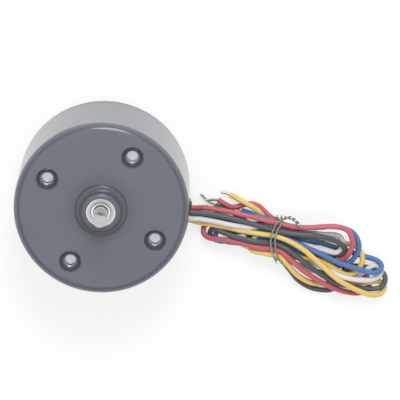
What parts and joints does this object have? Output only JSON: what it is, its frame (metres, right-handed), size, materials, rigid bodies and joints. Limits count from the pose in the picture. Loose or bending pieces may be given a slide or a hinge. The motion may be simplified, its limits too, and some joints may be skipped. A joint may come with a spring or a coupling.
{
  "type": "brushless dc motor",
  "caption": "Round flat brushless motor in a drawn steel can with a front boss, plain shaft, dimpled screw holes in the face and a tied hank of connection wires.",
  "frame": {"origin": "centre of the rear cover's flat outer face, on which the motor stands", "axes": "+Z along the shaft, out of the front face; +X roughly towards the side where the wires leave the can"},
  "size_m": [0.1086, 0.0591, 0.0425],
  "materials": {
    "dark_coat": "glossy dark electrocoat over drawn steel",
    "screw_steel": "bright zinc",
    "die_cast": "as cast",
    "lamination_steel": "stacked sheet edges",
    "ivory_plastic": "moulded",
    "copper": "enamelled copper wire",
    "tinned_brass": "tinned",
    "board_green": "solder mask",
    "black_plastic": "moulded",
    "ceramic_tan": "fired ceramic",
    "sheet_white": "film",
    "black_rubber": "matte",
    "spring_steel": "rolled",
    "bearing_steel": "ground and polished",
    "shield_steel": "pressed",
    "zinc_steel": "blue-white zinc plating",
    "magnet": "bonded ferrite",
    "hub_brass": "turned",
    "shaft_steel": "ground",
    "cage_brass": "pressed",
    "clip_steel": "blackened",
    "red_wire": "PVC insulation",
    "black_wire": "PVC insulation",
    "white_wire": "PVC insulation",
    "yellow_wire": "PVC insulation",
    "blue_wire": "PVC insulation",
    "tinned_copper": "tinned copper strands",
    "tie_steel": "bright soft wire"
  },
  "bodies": {
    "motor": {"front_housing": "dark_coat", "rear_cover": "dark_coat", "cover_screws": "screw_steel", "stator_holder": "die_cast", "stator_core": "lamination_steel", "front_insulator": "ivory_plastic", "rear_insulator": "ivory_plastic", "windings": "copper", "lead_pins": "tinned_brass", "circuit_board": "board_green", "position_sensors": "black_plastic", "driver_chip": "black_plastic", "power_transistors": "black_plastic", "capacitors": "ceramic_tan", "wire_terminals": "tinned_brass", "insulating_sheet": "sheet_white", "wire_grommet": "black_rubber", "wave_washer": "spring_steel", "front_bearing_outer_ring": "bearing_steel", "front_bearing_shields": "shield_steel", "rear_bearing_outer_ring": "bearing_steel", "rear_bearing_shields": "shield_steel", "red_wire": "red_wire", "black_wire": "black_wire", "white_wire": "white_wire", "yellow_wire": "yellow_wire", "blue_wire": "blue_wire", "tinned_ends": "tinned_copper", "wire_tie": "tie_steel"},
    "rotor": {"rotor_bell": "zinc_steel", "magnet_ring": "magnet", "rotor_hub": "hub_brass", "shaft": "shaft_steel", "front_bearing_inner_ring": "bearing_steel", "rear_bearing_inner_ring": "bearing_steel", "shim_washers": "spring_steel", "retaining_clip": "clip_steel"},
    "front_ball_set": {"front_bearing_balls": "bearing_steel", "front_bearing_cage": "cage_brass"},
    "rear_ball_set": {"rear_bearing_balls": "bearing_steel", "rear_bearing_cage": "cage_brass"}
  },
  "joints": [
    {"name": "shaft_spin", "type": "hinge", "parent": "motor", "child": "rotor", "pos_m": [0, 0, 0.03], "axis": [0, 0, 1], "continuous": true},
    {"name": "front_balls_spin", "type": "hinge", "parent": "motor", "child": "front_ball_set", "pos_m": [0, 0, 0.0313], "axis": [0, 0, 1], "continuous": true},
    {"name": "rear_balls_spin", "type": "hinge", "parent": "motor", "child": "rear_ball_set", "pos_m": [0, 0, 0.0055], "axis": [0, 0, 1], "continuous": true}
  ],
  "couplings": [
    {"joint": "front_balls_spin", "follows": "shaft_spin", "ratio": 0.3797},
    {"joint": "rear_balls_spin", "follows": "shaft_spin", "ratio": 0.3797}
  ]
}
